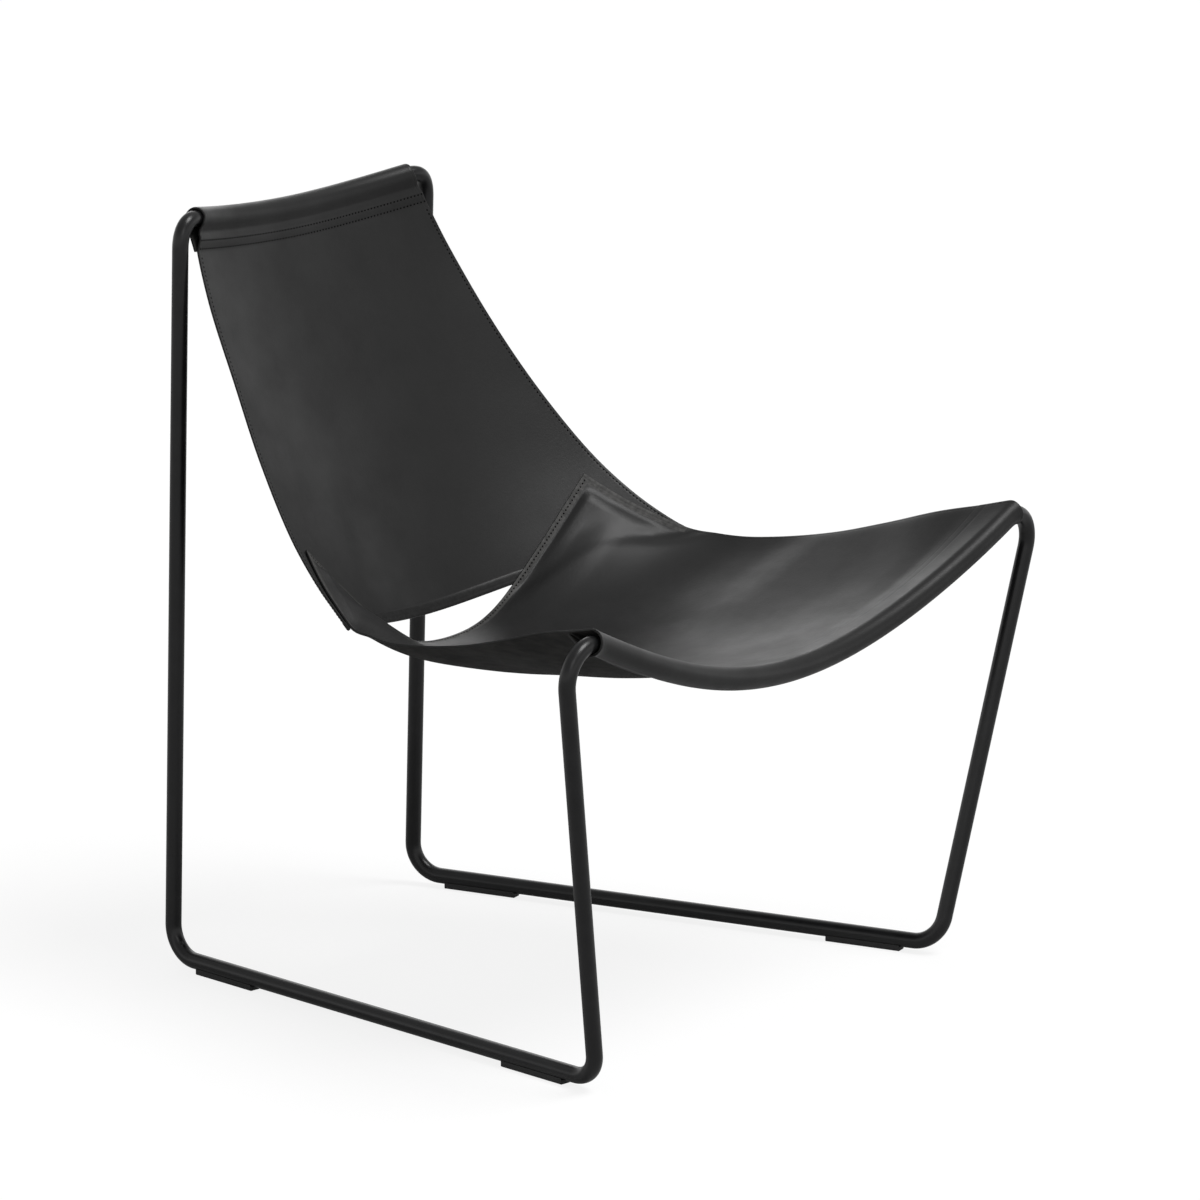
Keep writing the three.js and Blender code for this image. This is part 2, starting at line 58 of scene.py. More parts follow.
# The top rail: its middle, half its length to the sleeve's end, how far its ends rise and sweep
# forward, the bend into the upright and the joint inside the sleeve
TOP_Y = 329.8
TOP_Z = 829.4
TOP_HALF = 188.5
TOP_RISE = 14.4
TOP_SWEEP = 20.5
TOP_POWER = 2.5
TOP_BEND_START = 187.0
TOP_BEND_DROP = 34.0
TOP_HANDLE = 0.66
TOP_BEND_STEPS = 30
TOP_SPLIT = 156.0

# The front rail: a hanging bow with a round middle, pushed back between its bends, the start of
# the bends, the joint inside the sleeve and the sleeve's mouth
FRONT_Z = 399.4
FRONT_SLOPE = 0.63
FRONT_SOFT = 375.0
FRONT_BACK = 9.0
FRONT_BEND_START = 379.0
FRONT_SPLIT = 340.0
MOUTH = 394.5

# The facets round a tube and the steps along it, and the gap that is left at each joint
TUBE_SIDES = 36
BEND_STEPS = 25
JOINT_STEPS = 8
TOP_RAIL_STEPS = 50
FRONT_RAIL_STEPS = 70
JOINT_GAP = 0.2

# The leather: its thickness, the full wall that the weights take a share of, the groove under the
# stitches, the pressed edges, the hem and its step, and the rounding of edges sharper than an angle
LEATHER = 3.0
FULL = 4.4
GROOVE = 0.3
GROOVE_REACH = 0.9
PRESSED = 0.7
PRESSED_REACH = 3.0
HEM = 11.8
HEM_RAISE = 1.1
HEM_STEP = 0.8
EDGE_ROUND = 0.7
EDGE_ANGLE = 50.0

# A stitch: its width, height and length, and the share of its height by which its middle stands
# above the groove
THREAD = 2.2
THREAD_HIGH = 1.0
THREAD_LONG = 2.5
THREAD_UP = 0.2

# The sleeves: their gap round the tube, the seam's distance from the rail's middle, the gap behind
# the flap, the loose end of the front flap and where along the rail it starts and stops, the front
# mouth's lift and flare, and the dip below the top roll
CLEAR = 0.7
SEAM = 36.0
FLAP_GAP = 0.4
FLAP_END = 10.0
FLAP_LOOSE = 4.0
FLAP_OPENS = (0.35, 0.55)
FLAP_SHUTS = (0.85, 0.97)
SLEEVE_LIFT = 0.55
TRUMPET = 2.5
DIP = 3.6
DIP_POWER = 1.3

# The wings on the back's corners: their gap, how far past the hem and off the back they cling, and
# the puff between their stitched margins
LAP_GAP = 0.3
LAP_KEEP = 2.0
LAP_FADE = 34.0
LAP_REACH = 6.0
LAP_LOOSE = 14.0
MARGIN = 10.0
PUFF = 9.0
PUFF_RISE = 12.0
PUFF_SIDE = 26.0
PUFF_END = 18.0
PUFF_FADE = 22.0

# The shapes of the panels between their edge and middle lines. The back goes from round at the
# rail to flatter at the hem. The seat goes from the rail's bow to two walls, with a belly behind
# the rail and a sag in the walls. Pairs are shares of the way from the front rail to the rear edge.
BACK_FLAT_POWER = 4
BACK_ROUND = 0.95
HEM_SOFT = 0.5
WALL_TURN = 0.29
WALL_SOFT = 0.2
BELLY = 11.0
BELLY_POWER = 2
BELLY_RISES = (0, 0.1)
BELLY_FALLS = (0.16, 0.5)
WALL = 6.3
WALL_POWER = 5
WALL_RISES = (0.42, 0.56)
WALL_FALLS = (0.62, 0.84)

# The sizes of the finishes' patterns: the leather's cloudy wear, pores and wrinkles, the patches
# of its margins, partly wear and, on the seat, partly painted sheen, the blotches of its flesh
# side, the paint's clouds and the finest unevenness that shows, which is drawn coarser than it is
CLOUD = 70.0
PORE = 2.0
WRINKLE = 3.4
MARGIN_PATCH = 5.0
BLOTCH = 17.0
PAINT_CLOUD = 25.0
FINE = 1.1

# Places along the edges and the middles of the panels, in shares of the way from the front sleeve
# to the top rail: across, back and up. For an edge that way runs between the ends of the two.
BACK_EDGE = [(0.948, 0.986, 0.936), (0.878, 0.9435, 0.7535), (0.798, 0.873, 0.512),
             (0.697, 0.797, 0.282), (0.588, 0.7095, 0.069), (0.511, 0.641, -0.0515),
             (0.4525, 0.5885, -0.121), (0.405, 0.552, -0.162)]
BACK_MIDDLE = [(0, 0.9175, 0.676), (0, 0.8215, 0.3385), (0, 0.714, -0.016)]
SEAT_EDGE = [(0.019, 0.003, 0.032), (0.124, 0.1125, -0.014), (0.177, 0.208, -0.073),
             (0.238, 0.299, -0.123), (0.2985, 0.401, -0.158), (0.347, 0.475, -0.1685),
             (0.431, 0.5495, -0.148), (0.534, 0.6105, -0.092), (0.595, 0.6405, -0.0535),
             (0.692, 0.709, 0.02)]
SEAT_MIDDLE = [(0, 0.002, 0.026), (0, 0.229, -0.046), (0, 0.4555, -0.1135), (0, 0.6835, -0.075)]

# The places across and along a panel, by their distance from an edge or a seam: close together
# at the cut edges and at the rows of stitches. FAR stands for a place with none of these near it.
FROM_SIDE = [0, 1.2, 2.6, 4.1, 5.0, 5.9, 7.4, 9.5, 13, 18, 25]
FROM_FREE_EDGE = [0, 1.2, 2.6, 4.1, 5.0, 5.9, 7.4, 9.5, 11.8, 12.6, 14, 17, 22, 30]
FROM_SEAM = [0, 1.2, 2.1, 3.0, 3.9, 5.5, 8, 11.1, 12, 12.9, 15, 19, 24, 29]
FAR = 99.0
STITCH_IN = 5.0
SEAM_ROWS = (3.0, 12.0)
STITCH_PITCH = 5.0
INNER_COLUMNS = 96
INNER_ROWS = 84
TURNS = 26

# A direction to the sitter from either panel
SITTER = np.array([0, -1, 1.0])

# The camera: its turn and tilt in degrees, the place it turns about, how far to the right, up and
# away from there it stands, and its lens
CAMERA_TURN = -53.665
CAMERA_TILT = 12.851
CAMERA_AIM = np.array([0, 0, 400])
CAMERA_SHIFT = (79.74, 24.52)
CAMERA_AWAY = 7141.1
CAMERA_LENS = 195

# The white background: the shares of the wall and of the floor that glossy skins see, the floor's
# own glow, and the heights between which the wall fades to a dim ceiling
WALL_IN_GLOSS = 0.45
FLOOR_IN_GLOSS = 0.12
FLOOR_GLOW = 0.83
CEILING = {"From Min": 0.1, "From Max": 0.55, "To Min": 1.0, "To Max": 0.35}


def mix(a, b, share):
    return a + (b - a) * share


def smooth(share):
    share = np.clip(share, 0, 1)
    return share * share * (3 - 2 * share)


def climb(share, way):
    """0 before the start of the way and 1 past its end, with a smooth rise between them"""
    start, end = way
    return smooth((share - start) / (end - start))


def unit(v):
    v = np.asarray(v, float)
    return v / np.linalg.norm(v, axis=-1, keepdims=True)


def bowl(share, soft):
    """Round at the start and near straight past it"""
    return (np.hypot(soft, share) - soft) / (math.hypot(soft, 1) - soft)


def hinged(share, turn, soft):
    """Near level up to the turn and then a steady rise, with a round hinge between them"""
    def rise(x):
        return (np.hypot(soft, x - turn) + np.hypot(soft, x + turn)) / 2 - math.hypot(soft, turn)
    return rise(share) / rise(1.0)


def hump(reach, power):
    """0 in the middle and at the edge, and 1 where it is highest between them"""
    peak = power / (power + 1)
    return reach ** power * (1 - reach) / (peak ** power * (1 - peak))


UPRIGHT = unit([0, UPRIGHT_LEAN, 1])
LEG = unit([LEG_SPREAD, LEG_LEAN, 1])
REAR_FOOT = np.array([REAR_X, DEPTH, RUNNER_Z])
FRONT_FOOT = np.array([FRONT_X, -DEPTH, RUNNER_Z])


def top_at(x):
    """The middle line of the top rail"""
    share = np.abs(x) / TOP_HALF
    return np.stack([x, TOP_Y - TOP_SWEEP * share ** TOP_POWER, TOP_Z + TOP_RISE * share ** 2], -1)


def leg_plane(z):
    """How far back both front legs are at a height"""
    return -DEPTH + LEG_LEAN * (z - RUNNER_Z)


def bow_at(x):
    """The middle line of the front rail"""
    x = np.asarray(x, float)
    z = FRONT_Z + FRONT_SLOPE * (np.hypot(FRONT_SOFT, x) - FRONT_SOFT)
    inner = np.maximum(1 - (x / FRONT_BEND_START) ** 2, 0)
    return np.stack([x, leg_plane(z) + FRONT_BACK * inner ** 2, z], -1)


def slope_of(at, x):
    step = 0.3
    return unit(at(x + step) - at(x - step))


def elbow(corner, to_start, to_end, radius):
    """A round bend between two directions that meet in a corner"""
    half = math.acos(float(to_start @ to_end)) / 2
    reach = radius / math.tan(half)
    start = corner + to_start * reach
    centre = corner + unit(to_start + to_end) * radius / math.sin(half)
    a, b = start - centre, corner + to_end * reach - centre
    sweep = math.acos(float(a @ b) / radius ** 2)

    def at(share):
        share = np.asarray(share, float)[..., None]
        turned = a * np.sin((1 - share) * sweep) + b * np.sin(share * sweep)
        return centre + turned / math.sin(sweep)
    return start, at


FORWARD = unit(FRONT_FOOT - REAR_FOOT)
_, rear_elbow = elbow(REAR_FOOT, UPRIGHT, FORWARD, BEND)
_, foot_elbow = elbow(FRONT_FOOT, -FORWARD, LEG, BEND)

bow_end = bow_at(FRONT_BEND_START)
bow_slope = slope_of(bow_at, FRONT_BEND_START)
across = bow_slope[2] / bow_slope[0]
corner_x = ((FRONT_X + LEG_SPREAD * (bow_end[2] - RUNNER_Z - across * FRONT_BEND_START))
            / (1 - LEG_SPREAD * across))
corner_z = bow_end[2] + across * (corner_x - FRONT_BEND_START)
leg_corner = np.array([corner_x, leg_plane(corner_z), corner_z])
leg_start, leg_elbow = elbow(leg_corner, -bow_slope, -LEG, BEND)
first_half = leg_elbow(np.linspace(0, 0.5, 200))


def sleeve_at(x):
    """The middle of the front sleeve: the bow, and past its end partly straight on"""
    x = np.asarray(x, float)
    reach = np.abs(x)
    over = np.maximum(reach - leg_start[0], 0)
    point = bow_at(np.sign(x) * np.minimum(reach, leg_start[0]))
    low = np.stack([np.interp(reach, first_half[:, 0], first_half[:, k]) for k in range(3)], -1)
    straight = leg_start + (over / bow_slope[0])[..., None] * bow_slope
    past = mix(low, straight, SLEEVE_LIFT)
    past[..., 0] *= np.where(x < 0, -1, 1)
    return np.where((over > 0)[..., None], past, point)


class Line:
    """A line of the leather by the share of its length, running on straight past its end"""

    def __init__(self, dense):
        self.points = dense
        steps = np.linalg.norm(np.diff(dense, axis=0), axis=1)
        self.at = np.concatenate([[0], np.cumsum(steps)])
        self.length = self.at[-1]
        self.at = self.at / self.length
        self.slope = unit(dense[-1] - dense[-2]) * self.length

    def __call__(self, share):
        inside = np.stack([np.interp(share, self.at, self.points[:, k]) for k in range(3)], -1)
        return inside + np.maximum(share - 1, 0)[..., None] * self.slope


def spline(points, steps=300):
    """A centripetal curve through a row of points"""
    p = np.asarray(points, float)
    p = np.vstack([2 * p[0] - p[1], p, 2 * p[-1] - p[-2]])
    out = []
    t = np.linspace(0, 1, steps, endpoint=False)[:, None]
    for i in range(1, len(p) - 2):
        a, b, c, d = p[i - 1:i + 3]
        t0, t1, t2 = (np.linalg.norm(q - r) ** 0.5 for q, r in ((b, a), (c, b), (d, c)))
        m1 = ((b - a) / t0 - (c - a) / (t0 + t1) + (c - b) / t1) * t1
        m2 = ((c - b) / t1 - (d - b) / (t1 + t2) + (d - c) / t2) * t1
        out.append(b + m1 * t + (3 * (c - b) - 2 * m1 - m2) * t ** 2
                   + (2 * (b - c) + m1 + m2) * t ** 3)
    return Line(np.vstack(out + [p[-2][None]]))


def bezier(points, steps=1200):
    a, b, c, d = (np.asarray(q, float) for q in points)
    t = np.linspace(0, 1, steps)[:, None]
    return a * (1 - t) ** 3 + 3 * b * t * (1 - t) ** 2 + 3 * c * t ** 2 * (1 - t) + d * t ** 3


roll_end = sleeve_at(MOUTH)
roll_middle = bow_at(0.0)
top_end = top_at(TOP_HALF)
top_middle = top_at(0.0)


def placed(start, end, shares):
    return [mix(start, end, np.array(s)) for s in shares]


back_side = spline([top_end, *placed(roll_end, top_end, BACK_EDGE)])
back_centre = spline([top_middle, *placed(roll_middle, top_middle, BACK_MIDDLE)])
seat_side = spline(placed(roll_end, top_end, SEAT_EDGE))
seat_centre = Line(bezier(placed(roll_middle, top_middle, SEAT_MIDDLE)))


def back_at(u, v):
    """The back panel by the share u across, from -1 to 1, and the share v down"""
    u, v = np.broadcast_arrays(np.asarray(u, float), np.asarray(v, float))
    e, m, reach = back_side(v), back_centre(v), np.abs(u)
    low_bow = mix(reach ** BACK_FLAT_POWER, reach ** 2, BACK_ROUND)
    y = mix(m[..., 1], e[..., 1], mix(reach ** TOP_POWER, low_bow, smooth(v)))
    z = mix(m[..., 2], e[..., 2], mix(reach ** 2, bowl(reach, HEM_SOFT), v))
    return np.stack([u * e[..., 0], y, z], -1)


def seat_at(u, v):
    """The seat panel by the share u across and the share v from the front rail to the rear edge"""
    u, v = np.broadcast_arrays(np.asarray(u, float), np.asarray(v, float))
    e, m, reach = seat_side(v), seat_centre(v), np.abs(u)
    rail = (sleeve_at(u * MOUTH)[..., 2] - roll_middle[2]) / (roll_end[2] - roll_middle[2])
    bow = mix(rail, hinged(reach, WALL_TURN, WALL_SOFT), smooth(v))
    belly = hump(reach, BELLY_POWER) * climb(v, BELLY_RISES) * (1 - climb(v, BELLY_FALLS))
    wall = hump(reach, WALL_POWER) * climb(v, WALL_RISES) * (1 - climb(v, WALL_FALLS))
    z = mix(m[..., 2], e[..., 2], bow) - BELLY * belly - WALL * wall
    return np.stack([u * e[..., 0], mix(m[..., 1], e[..., 1], bow), z], -1)


def normal_at(surface, u, v):
    """The normal of a panel, on the sitter's side"""
    step = 0.005
    a = surface(u + step, v) - surface(u - step, v)
    b = surface(u, v + step) - surface(u, np.maximum(v - step, 0))
    n = unit(np.cross(a, b))
    return n * np.where(n @ SITTER < 0, -1, 1)[..., None]


def foot_on_back(p):
    """The shares of the place on the back panel, or on its run past the hem, that p stands square
    over, found by halving the way between its middle and a place well past the hem"""
    middle, past_hem, halvings, step = 0.5, 1.4, 26, 0.01
    low, high = np.full(p.shape[:-1], middle), np.full(p.shape[:-1], past_hem)
    for _ in range(halvings):
        v = (low + high) / 2
        u = p[..., 0] / back_side(v)[..., 0]
        here, ahead = back_at(u, v), back_at(u, v + step)
        below = ((p - here) * (ahead - here)).sum(-1) > 0
        low, high = np.where(below, v, low), np.where(below, high, v)
    return p[..., 0] / back_side(low)[..., 0], low


def lapped(p, from_rear, from_side):
    """Lays the seat's wings on the lower corners of the back: flat along their stitched margins
    and puffed up between them"""
    u, v = foot_on_back(p)
    n = normal_at(back_at, u, v)
    off = ((p - back_at(u, v)) * n).sum(-1) - (LEATHER + LAP_GAP)
    past = (v - 1) * back_side.length
    keep = 1 - smooth((past - LAP_KEEP) / LAP_FADE)
    cling = 1 - smooth((off - LAP_REACH) / LAP_LOOSE)
    puff = smooth((from_rear - MARGIN) / PUFF_RISE) * smooth((from_side - MARGIN) / PUFF_SIDE)
    raised = off * (1 - keep * cling)
    puff = puff * (1 - smooth((past + PUFF_END) / LAP_FADE)) * (1 - smooth(raised / PUFF_FADE))
    return p + n * (PUFF * puff + raised - off)[..., None]


WRAP = TUBE + CLEAR + LEATHER / 2


def seam_share(rail, surface):
    """The share of a panel at which its middle line is as far from the rail as the seam"""
    farthest, tries = 0.2, 2001
    share = np.linspace(0, farthest, tries)
    gap = np.linalg.norm(surface(np.zeros_like(share), share) - rail(0.0), axis=-1)
    return float(share[np.argmax(gap >= SEAM)])


def sleeve_rows(rail, surface, u, width, share, wrap, loose, dip):
    """One column round a rail: from the seam over the rail and back under it to the flap's end"""
    o, slope = rail(u * width), slope_of(rail, u * width)
    seam = surface(u, share) - o
    drift = float(seam @ slope)
    e = seam - slope * drift
    reach = float(np.linalg.norm(e))
    e = e / reach
    n = unit(np.cross(slope, e))
    n = -n if n @ SITTER < 0 else n
    top = math.acos(wrap / reach)
    tail = np.array([reach, 0]) - np.array([math.cos(top), math.sin(top)]) * (LEATHER + FLAP_GAP)
    low = math.atan2(tail[1], tail[0]) - math.acos(wrap / np.hypot(*tail))
    angle = np.linspace(top, 2 * math.pi + low, TURNS + 1)
    arc = np.stack([np.cos(angle), np.sin(angle)], -1) * wrap
    to = (np.array(FROM_SEAM) / math.sqrt(SEAM ** 2 - WRAP ** 2))[:, None]
    curl = loose * np.maximum(1 - np.array(FROM_SEAM) / FLAP_END, 0)[::-1] ** 2
    flap = mix(tail, arc[-1], to[::-1]) - np.stack([curl * 0, curl], -1)
    past_rows = (np.array(FROM_SEAM) - SEAM_ROWS[1]) / (FROM_SEAM[-1] - SEAM_ROWS[1])
    sunk = dip * np.sin(np.pi * np.clip(past_rows, 0, 1) ** DIP_POWER) ** 2
    front = mix(np.array([reach, 0]), arc[0], to) - np.stack([sunk * 0, sunk], -1)
    flat = np.vstack([front, arc, flap])
    drifts = slope * (drift * np.maximum(flat[:, :1], 0) / reach)
    return o + flat[:, :1] * e + flat[:, 1:] * n + drifts


def front_wrap(u):
    """The radius of the front sleeve, which flares at its mouth"""
    over = max(abs(u) * MOUTH - leg_start[0], 0) / (MOUTH - leg_start[0])
    return WRAP + TRUMPET * over ** 2


def panel_grid(rail, surface, width, moved, wrap, loose, dip):
    """A panel as columns of points in the middle of the leather, from its free edge to its flap"""
    share = seam_share(rail, surface)
    half = np.concatenate([np.linspace(0, 1, INNER_COLUMNS // 2 + 1), np.ones(len(FROM_SIDE) - 1)])
    base = np.concatenate([-half[:0:-1], half])[:, None]
    inside = np.full(INNER_COLUMNS - 1, FROM_SIDE[-1])
    side_in = np.concatenate([FROM_SIDE, inside, FROM_SIDE[::-1]])[:, None]
    samples = 61
    line = surface(base, np.linspace(0, 1, samples)[None, :])
    length = np.linalg.norm(np.diff(line, axis=1), axis=-1).sum(1)[:, None]
    free_in = np.array(FROM_FREE_EDGE)[None, :]
    inner = np.linspace(0, 1, INNER_ROWS + 1)[None, 1:]
    v = np.concatenate([1 - free_in / length, mix(1 - free_in[:, -1:] / length, share, inner)], 1)
    step = 0.02
    per_share = np.linalg.norm(surface(1.0, v) - surface(1.0 - step, v), axis=-1) / step
    u = base * (1 - side_in / per_share)
    open_part = moved(surface(u, v), (1 - v) * length, np.broadcast_to(side_in, v.shape))
    ends = [sleeve_rows(rail, surface, a, width, share, wrap(a), loose(a), dip)
            for a in u[:, -1]]
    return np.concatenate([open_part[:, :-1], np.stack(ends)], 1)


def front_flap_loose(u):
    """How far the end of the front flap hangs open"""
    return FLAP_LOOSE * climb(abs(u), FLAP_OPENS) * (1 - climb(abs(u), FLAP_SHUTS))


back_grid = panel_grid(top_at, back_at, TOP_HALF, lambda p, from_rear, from_side: p,
                       lambda u: WRAP, lambda u: 0.0, DIP)
seat_grid = panel_grid(sleeve_at, seat_at, MOUTH, lapped, front_wrap, front_flap_loose, 0.0)


def metres(points):
    return (np.asarray(points, float) + SHIFT) * MM


def put(name, data):
    """Puts an object of a mesh, a lamp or a lens in the scene"""
    thing = bpy.data.objects.new(name, data)
    bpy.context.scene.collection.objects.link(thing)
    return thing


def finish_piece(bm, name, materials):
    """Makes a piece of a bmesh, shaded smooth, and hangs it on the chair's one body"""
    mesh = bpy.data.meshes.new(name)
    bm.to_mesh(mesh)
    bm.free()
    for material in materials:
        mesh.materials.append(material)
    for face in mesh.polygons:
        face.use_smooth = True
    piece = put(name, mesh)
    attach(piece, "root")
    return piece


def linear(code):
    """An sRGB hex colour as linear values"""
    parts = [int(code[i:i + 2], 16) / 255 for i in (1, 3, 5)]
    return [c / 12.92 if c <= 0.04045 else ((c + 0.055) / 1.055) ** 2.4 for c in parts] + [1]


def add_node(tree, kind, inputs=None, **settings):
    """Adds a node with its settings and its inputs, each of them a value or a socket to link"""
    node = tree.nodes.new(kind)
    for key, value in settings.items():
        setattr(node, key, value)
    for key, value in (inputs or {}).items():
        if isinstance(value, bpy.types.NodeSocket):
            tree.links.new(value, node.inputs[key])
        else:
            node.inputs[key].default_value = value
    return node


def new_material(name):
    material = bpy.data.materials.new(name)
    material.use_nodes = True
    tree = material.node_tree
    tree.nodes.clear()
    return material, tree


def per_metre(size):
    """The scale of a pattern from its real size"""
    return 1 / (size * MM)


def leather_material(name, low, high, dull, polished, cloud):
    """Thick hide, dyed through and waxed: near black, with cloudy wear, pores and fine wrinkles"""
    material, tree = new_material(name)
    place = add_node(tree, "ShaderNodeTexCoord").outputs["Object"]
    clouds = add_node(tree, "ShaderNodeTexNoise", {
        "Vector": place, "Scale": per_metre(cloud), "Detail": 5, "Roughness": 0.6})
    pores = add_node(tree, "ShaderNodeTexVoronoi", {"Vector": place, "Scale": per_metre(PORE)},
                     feature="DISTANCE_TO_EDGE")
    wrinkles = add_node(tree, "ShaderNodeTexNoise", {
        "Vector": place, "Scale": per_metre(WRINKLE), "Detail": 4, "Roughness": 0.65})
    colour = add_node(tree, "ShaderNodeValToRGB", {"Fac": clouds.outputs["Fac"]})
    for stop, at, code in zip(colour.color_ramp.elements, (0.3, 0.72), (low, high)):
        stop.position, stop.color = at, linear(code)
    rough = add_node(tree, "ShaderNodeMapRange", {
        "Value": clouds.outputs["Fac"], "From Min": 0.3, "From Max": 0.7, "To Min": dull,
        "To Max": polished})
    pitted = add_node(tree, "ShaderNodeBump", {
        "Height": pores.outputs["Distance"], "Strength": 0.25, "Distance": 0.0003})
    skin = add_node(tree, "ShaderNodeBump", {
        "Height": wrinkles.outputs["Fac"], "Normal": pitted.outputs["Normal"],
        "Strength": 0.3, "Distance": 0.0004})
    surface = add_node(tree, "ShaderNodeBsdfPrincipled", {
        "Base Color": colour.outputs["Color"], "Roughness": rough.outputs["Result"],
        "Normal": skin.outputs["Normal"], "IOR": 1.5, "Specular IOR Level": 0.25})
    add_node(tree, "ShaderNodeOutputMaterial", {"Surface": surface.outputs["BSDF"]})
    return material


def plain_material(name, low, high, rough, metal=0.0, cloud=BLOTCH, bump=0.1, depth=0.0002,
                   shine=0.5):
    """An even finish with a slight cloud in its colour and a fine unevenness"""
    material, tree = new_material(name)
    place = add_node(tree, "ShaderNodeTexCoord").outputs["Object"]
    clouds = add_node(tree, "ShaderNodeTexNoise", {
        "Vector": place, "Scale": per_metre(cloud), "Detail": 4})
    colour = add_node(tree, "ShaderNodeValToRGB", {"Fac": clouds.outputs["Fac"]})
    for stop, at, code in zip(colour.color_ramp.elements, (0.35, 0.65), (low, high)):
        stop.position, stop.color = at, linear(code)
    grit = add_node(tree, "ShaderNodeTexNoise", {
        "Vector": place, "Scale": per_metre(FINE), "Detail": 2})
    skin = add_node(tree, "ShaderNodeBump", {
        "Height": grit.outputs["Fac"], "Strength": bump, "Distance": depth})
    surface = add_node(tree, "ShaderNodeBsdfPrincipled", {
        "Base Color": colour.outputs["Color"], "Normal": skin.outputs["Normal"],
        "Roughness": rough, "Metallic": metal, "Specular IOR Level": shine})
    add_node(tree, "ShaderNodeOutputMaterial", {"Surface": surface.outputs["BSDF"]})
    return material


# Saddle leather, drum dyed and waxed: near black, with a soft sheen that comes and goes
leather = leather_material("saddle_leather_waxed", "#161616", "#202020", 0.46, 0.36, CLOUD)
# The seat's sewn margins: paler and duller in small patches, partly wear from rubbing and partly
# painted sheen
margin_sheen_and_wear = leather_material("saddle_leather_margin_sheen_and_wear", "#272726", "#474645", 0.6, 0.5, MARGIN_PATCH)
# The same leather at the back's folded hem, where the press has left it darker and duller
hem = leather_material("saddle_leather_pressed_hem", "#0d0d0d", "#1b1b1b", 0.6, 0.5, MARGIN_PATCH)
# The inner side of the hide, shaved and dyed: matt and fibrous charcoal with blotches
flesh = plain_material("dyed_flesh_side", "#1a1a19", "#2c2b2a", 0.8, bump=0.5, depth=0.0005,
                       shine=0.15)
# The cut edges, dyed and burnished: a plain dark line
cut_edge = plain_material("painted_cut_edge", "#101010", "#181818", 0.5, shine=0.2)
# Bonded sewing thread, black and matt, and darker than the leather: partly its own colour and
# partly painted shade of the needle holes it sinks into
thread_and_hole_shade = plain_material("bonded_polyester_thread_hole_shade", "#030303", "#070707", 0.8, cloud=FINE,
                        shine=0.02)
# Powder coat, baked on the bent tube: satin black with long soft highlights
paint = plain_material("powder_coated_steel_satin_black", "#121213", "#181819", 0.3,
                       cloud=PAINT_CLOUD, shine=0.35)
# Moulded nylon: black, duller than the paint
nylon = plain_material("moulded_nylon_black", "#0f0f10", "#171718", 0.5)
# Bright zinc plate on the screws: cool grey metal
zinc = plain_material("zinc_plated_steel", "#8f9194", "#a9abad", 0.35, metal=1.0)


def normals_of(grid):
    """The normals of a grid of points, on the side that the sitter leans on"""
    along = np.gradient(grid, axis=1)
    over = np.gradient(grid, axis=0)
    return unit(np.cross(over, along))


def sheet_piece(name, grid, weight, skins, in_margin):
    """A sheet of leather from its middle surface: a grid moved into place, then given its
    thickness, thinner at its pressed edges and under its stitches, with the cut edges rounded
    over. The skins are the plain one and the one for its margins, of each of its faces."""
    columns, rows = grid.shape[:2]
    bm = bmesh.new()
    bmesh.ops.create_grid(bm, x_segments=columns - 1, y_segments=rows - 1, size=0.5, calc_uvs=True)
    points = metres(grid)
    over = np.linalg.norm(np.diff(points, axis=0, prepend=points[:1]), axis=-1).cumsum(0)
    over = over - over[columns // 2]
    along = np.linalg.norm(np.diff(points, axis=1, prepend=points[:, :1]), axis=-1).cumsum(1)
    place = [(round((vert.co.x + 0.5) * (columns - 1)), round((vert.co.y + 0.5) * (rows - 1)))
             for vert in bm.verts]
    thin = bm.verts.layers.deform.verify()
    for vert, (i, j) in zip(bm.verts, place):
        vert.co = points[i, j]
        vert[thin][0] = weight[i, j]
    layer = bm.loops.layers.uv.verify()
    for face in bm.faces:
        corners = [place[loop.vert.index] for loop in face.loops]
        for loop, (i, j) in zip(face.loops, corners):
            loop[layer].uv = (over[i, j], along[i, j])
        face.material_index = int(all(in_margin[corner] for corner in corners))
    piece = finish_piece(bm, name, [*skins, cut_edge])
    piece.vertex_groups.new(name="thickness")
    wall = piece.modifiers.new("thickness", "SOLIDIFY")
    wall.thickness = FULL * MM
    wall.offset = 0
    wall.vertex_group = "thickness"
    wall.material_offset = 2
    wall.material_offset_rim = 4
    wall.use_quality_normals = True
    round_edge = piece.modifiers.new("round_edge", "BEVEL")
    round_edge.width = EDGE_ROUND * MM
    round_edge.segments = 2
    round_edge.limit_method = "ANGLE"
    round_edge.angle_limit = math.radians(EDGE_ANGLE)
    round_edge.harden_normals = True
    return piece


def near(distance, place, width):
    """1 at a place and 0 from a little way off it"""
    return 1 - smooth(abs(distance - place) / width)


def distances(grid):
    """How far each point of a grid is from its side edge, its free edge and its seam, in mm"""
    columns, rows = grid.shape[:2]
    side = np.array([*FROM_SIDE, *[FAR] * (columns - 2 * len(FROM_SIDE)), *FROM_SIDE[::-1]])
    free = np.array([*FROM_FREE_EDGE, *[FAR] * (rows - len(FROM_FREE_EDGE))])
    seam = np.full(rows, FAR)
    seam[seam_row:seam_row + len(FROM_SEAM)] = FROM_SEAM
    seam[rows - len(FROM_SEAM):] = FROM_SEAM[::-1]
    return side[:, None], free[None, :], seam[None, :]


def weights(grid, hem_raise):
    """The share of the full thickness at each point of a sheet"""
    side, free, seam = distances(grid)
    weight = LEATHER / FULL + hem_raise / FULL * (1 - smooth((free - HEM) / HEM_STEP))
    sewn = [(side, STITCH_IN), (free, STITCH_IN), *((seam, row) for row in SEAM_ROWS)]
    for distance, row in sewn:
        weight = weight - GROOVE / FULL * near(distance, row, GROOVE_REACH)
    return weight - PRESSED / FULL * near(np.minimum(side, free), 0, PRESSED_REACH)


